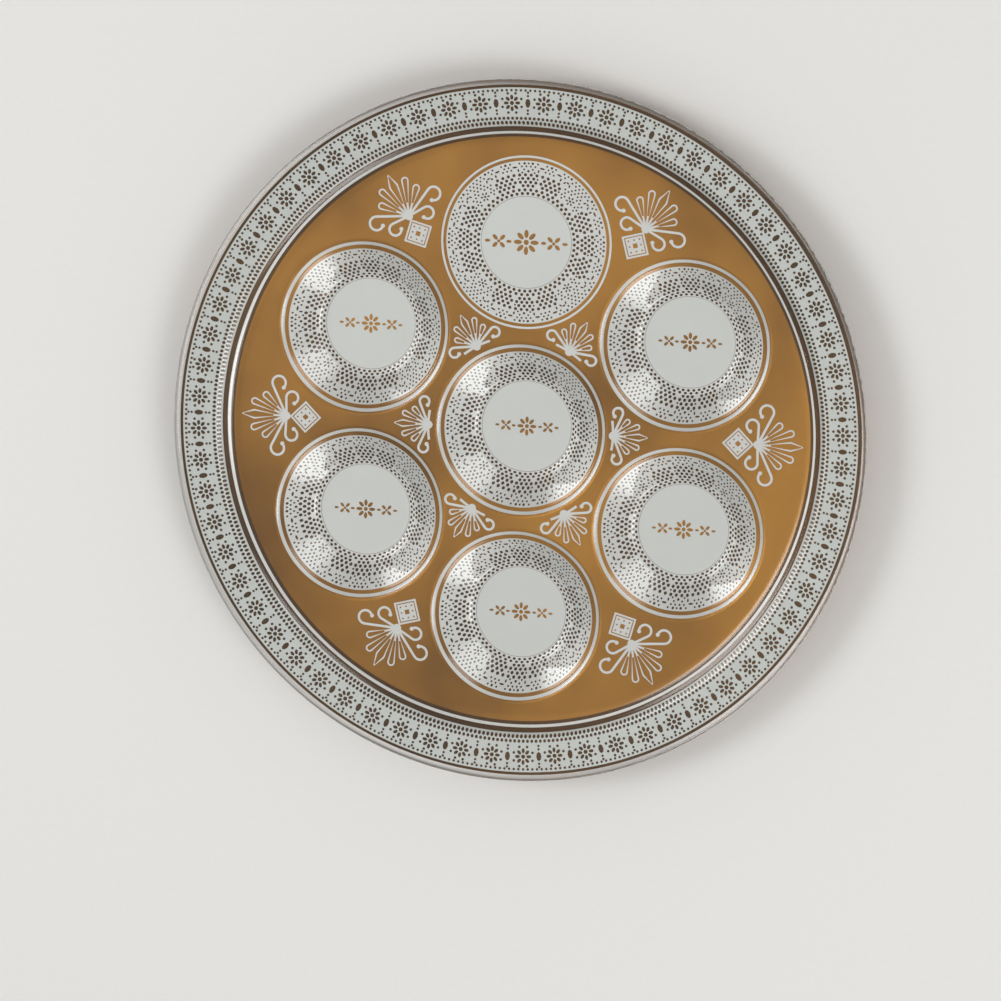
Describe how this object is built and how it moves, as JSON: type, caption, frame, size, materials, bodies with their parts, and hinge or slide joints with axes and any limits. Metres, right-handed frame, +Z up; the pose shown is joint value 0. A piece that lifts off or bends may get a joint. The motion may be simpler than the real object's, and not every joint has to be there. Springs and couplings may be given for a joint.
{
  "type": "seder plate",
  "caption": "Round slumped-glass seder plate with sunken wells, a flat medallion, a raised rim and silver lace prints on a gold back.",
  "frame": {"origin": "middle of the plate, at the soles of its bumpers", "axes": "+Z up, +Y towards the flat medallion, +X to the right of it"},
  "size_m": [0.4, 0.4, 0.0336],
  "materials": {
    "clear_glass": "clear, faintly green, fire-polished",
    "gold_paint": "satin gold paint",
    "silver_print": "silver transfer print",
    "label_print": "pale grey transfer print",
    "clear_bumper": "clear soft silicone"
  },
  "bodies": {
    "root": {"glass_plate": "clear_glass", "gold_ground": "gold_paint", "border_line": "silver_print", "rim_lace_band": "silver_print", "label_disc_centre": "label_print", "lace_ring_centre": "silver_print", "outline_ring_centre": "silver_print", "label_disc_top": "label_print", "lace_ring_top": "silver_print", "outline_ring_top": "silver_print", "label_disc_upper_left": "label_print", "lace_ring_upper_left": "silver_print", "outline_ring_upper_left": "silver_print", "label_disc_lower_left": "label_print", "lace_ring_lower_left": "silver_print", "outline_ring_lower_left": "silver_print", "label_disc_bottom": "label_print", "lace_ring_bottom": "silver_print", "outline_ring_bottom": "silver_print", "label_disc_lower_right": "label_print", "lace_ring_lower_right": "silver_print", "outline_ring_lower_right": "silver_print", "label_disc_upper_right": "label_print", "lace_ring_upper_right": "silver_print", "outline_ring_upper_right": "silver_print", "outer_palmette_upper_left": "silver_print", "inner_palmette_upper_left": "silver_print", "outer_palmette_left": "silver_print", "inner_palmette_left": "silver_print", "outer_palmette_lower_left": "silver_print", "inner_palmette_lower_left": "silver_print", "outer_palmette_lower_right": "silver_print", "inner_palmette_lower_right": "silver_print", "outer_palmette_right": "silver_print", "inner_palmette_right": "silver_print", "outer_palmette_upper_right": "silver_print", "inner_palmette_upper_right": "silver_print", "foot_centre": "clear_bumper", "foot_upper_left": "clear_bumper", "foot_lower_left": "clear_bumper", "foot_bottom": "clear_bumper", "foot_lower_right": "clear_bumper", "foot_upper_right": "clear_bumper"}
  },
  "joints": []
}
